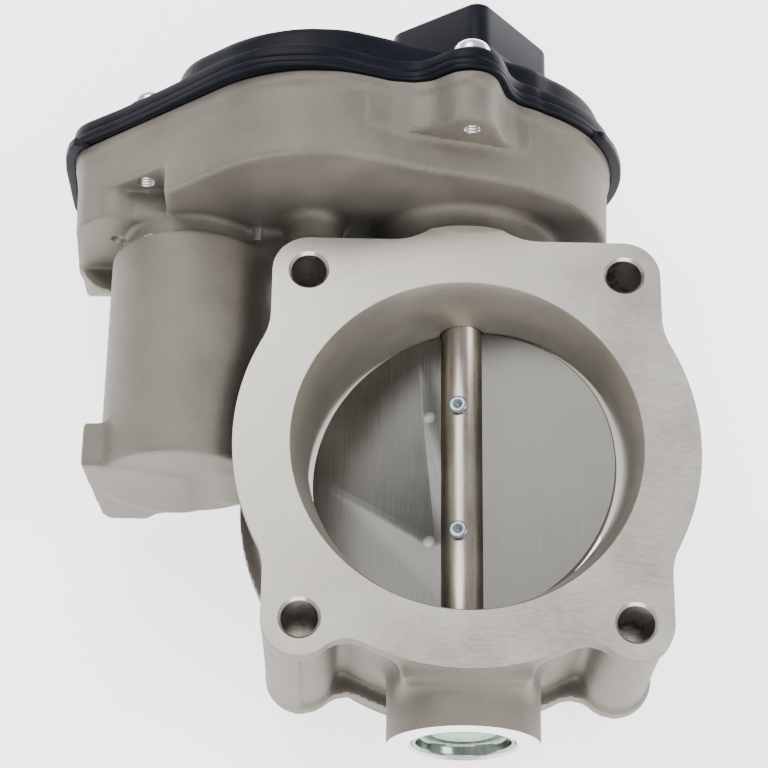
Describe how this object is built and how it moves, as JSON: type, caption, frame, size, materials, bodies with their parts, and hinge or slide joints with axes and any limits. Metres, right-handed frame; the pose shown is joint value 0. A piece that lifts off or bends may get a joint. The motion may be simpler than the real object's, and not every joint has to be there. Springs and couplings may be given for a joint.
{
  "type": "throttle body",
  "caption": "Electronic throttle body: cast housing with a tapered round bore, a plate on a cross shaft, a side motor, and drive gears under a black plug-in cover.",
  "frame": {"origin": "centre of the bore at the end of the manifold spigot, on which the part stands", "axes": "+Z along the bore, out of the inlet flange; +Y along the throttle shaft towards the gear cover; +X away from the motor"},
  "size_m": [0.1646, 0.1865, 0.0944],
  "materials": {
    "cast_alloy": "shot-blasted casting with machined faces",
    "cover_plastic": "satin black moulded",
    "gasket_rubber": "matt black",
    "screw_steel": "bright zinc plate",
    "pin_brass": "plain",
    "board": "green solder resist",
    "black_plastic": "moulded black",
    "shaft_steel": "ground",
    "plate_alloy": "brushed along the shaft",
    "dark_steel": "dark",
    "bearing_steel": "ground and bright",
    "zinc_steel": "greenish zinc plate",
    "gear_plastic": "natural moulded nylon",
    "magnet": "dull grey",
    "spring_steel": "drawn wire",
    "can_steel": "plated pressed steel",
    "copper": "copper bars"
  },
  "bodies": {
    "body": {"housing": "cast_alloy", "gear_cover": "cover_plastic", "cover_gasket": "gasket_rubber", "cover_screws": "screw_steel", "connector_pins": "pin_brass", "sensor_board": "board", "sensor_chip": "black_plastic", "upper_bearing": "bearing_steel", "lower_bearing": "bearing_steel", "upper_seal": "gasket_rubber", "lower_seal": "gasket_rubber", "bearing_plug": "zinc_steel", "return_spring": "spring_steel", "spring_sleeve": "gear_plastic", "stop_pin": "shaft_steel", "idler_pin": "bearing_steel", "idler_washer": "pin_brass", "motor_can": "can_steel", "motor_magnets": "magnet", "motor_end_cap": "black_plastic", "motor_brushes": "black_plastic", "motor_terminals": "pin_brass", "motor_plate": "can_steel", "motor_screws": "screw_steel"},
    "throttle": {"throttle_shaft": "shaft_steel", "throttle_plate": "plate_alloy", "plate_screws": "dark_steel", "sector_gear": "gear_plastic", "sensor_magnet": "magnet"},
    "idler": {"idler_gear": "gear_plastic"},
    "rotor": {"armature": "dark_steel", "commutator": "copper", "motor_shaft": "bearing_steel", "motor_pinion": "pin_brass"}
  },
  "joints": [
    {"name": "throttle_turn", "type": "hinge", "parent": "body", "child": "throttle", "pos_m": [0, 0, 0.04], "axis": [0, -1, 0], "range_deg": [-9.5, 75.5], "stiffness_Nm_per_rad": 0.15},
    {"name": "idler_turn", "type": "hinge", "parent": "body", "child": "idler", "pos_m": [-0.039, 0, 0.05265], "axis": [0, 1, 0], "range_deg": [-30, 235]},
    {"name": "motor_turn", "type": "hinge", "parent": "body", "child": "rotor", "pos_m": [-0.0712, 0, 0.03893], "axis": [0, -1, 0], "range_deg": [-119, 938]}
  ],
  "couplings": [
    {"joint": "idler_turn", "follows": "throttle_turn", "ratio": 3.1},
    {"joint": "motor_turn", "follows": "throttle_turn", "ratio": 12.4}
  ]
}
